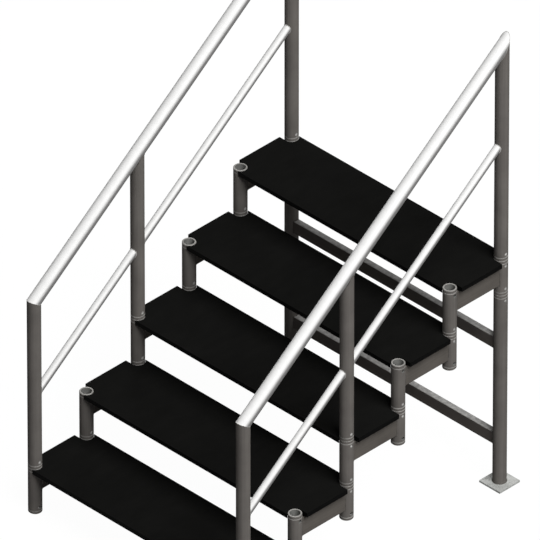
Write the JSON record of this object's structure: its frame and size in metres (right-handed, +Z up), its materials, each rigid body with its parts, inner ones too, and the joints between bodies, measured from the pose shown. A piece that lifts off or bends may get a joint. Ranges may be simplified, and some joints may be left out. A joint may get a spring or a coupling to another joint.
{
  "type": "stage stairs",
  "caption": "Modular stage stairs: black treads on round socketed columns, a braced leg frame at the back and a lift-off handrail with knee rail on each side.",
  "frame": {"origin": "bottom centre of the bounding box, on the floor", "axes": "+X across the flight to the right, +Y up the flight towards the stage, +Z up"},
  "size_m": [1.115, 1.325, 1.8802],
  "materials": {
    "board": "black phenolic film on plywood, matt, fine anti-slip grain",
    "column_tube": "satin mill finish, brownish grey",
    "side_rail": "satin extruded profile, brownish grey",
    "guard_tube": "brushed, bright",
    "base_plate": "rough cast-looking plate, light grey"
  },
  "bodies": {
    "flight": {"tread_board_1": "board", "cross_channel_1": "side_rail", "left_side_rail_1": "side_rail", "left_front_column_1": "column_tube", "left_rear_column_1": "column_tube", "right_side_rail_1": "side_rail", "right_front_column_1": "column_tube", "right_rear_column_1": "column_tube", "tread_board_2": "board", "cross_channel_2": "side_rail", "left_side_rail_2": "side_rail", "left_front_column_2": "column_tube", "left_rear_column_2": "column_tube", "right_side_rail_2": "side_rail", "right_front_column_2": "column_tube", "right_rear_column_2": "column_tube", "tread_board_3": "board", "cross_channel_3": "side_rail", "left_side_rail_3": "side_rail", "left_front_column_3": "column_tube", "left_rear_column_3": "column_tube", "right_side_rail_3": "side_rail", "right_front_column_3": "column_tube", "right_rear_column_3": "column_tube", "tread_board_4": "board", "cross_channel_4": "side_rail", "left_side_rail_4": "side_rail", "left_front_column_4": "column_tube", "left_rear_column_4": "column_tube", "right_side_rail_4": "side_rail", "right_front_column_4": "column_tube", "right_rear_column_4": "column_tube", "tread_board_5": "board", "cross_channel_5": "side_rail", "left_side_rail_5": "side_rail", "left_front_column_5": "column_tube", "left_rear_column_5": "column_tube", "right_side_rail_5": "side_rail", "right_front_column_5": "column_tube", "right_rear_column_5": "column_tube", "lower_crossbar": "side_rail", "upper_crossbar": "side_rail", "left_leg": "column_tube", "left_base_plate": "base_plate", "right_leg": "column_tube", "right_base_plate": "base_plate"},
    "left_guard": {"left_front_post": "column_tube", "left_middle_post": "column_tube", "left_rear_post": "column_tube", "left_handrail": "guard_tube", "left_lower_knee_rail": "guard_tube", "left_upper_knee_rail": "guard_tube"},
    "right_guard": {"right_front_post": "column_tube", "right_middle_post": "column_tube", "right_rear_post": "column_tube", "right_handrail": "guard_tube", "right_lower_knee_rail": "guard_tube", "right_upper_knee_rail": "guard_tube"}
  },
  "joints": [
    {"name": "left_guard_lift", "type": "slide", "parent": "flight", "child": "left_guard", "axis": [0, 0, 1], "range_m": [0, 0.12]},
    {"name": "right_guard_lift", "type": "slide", "parent": "flight", "child": "right_guard", "axis": [0, 0, 1], "range_m": [0, 0.12]}
  ]
}
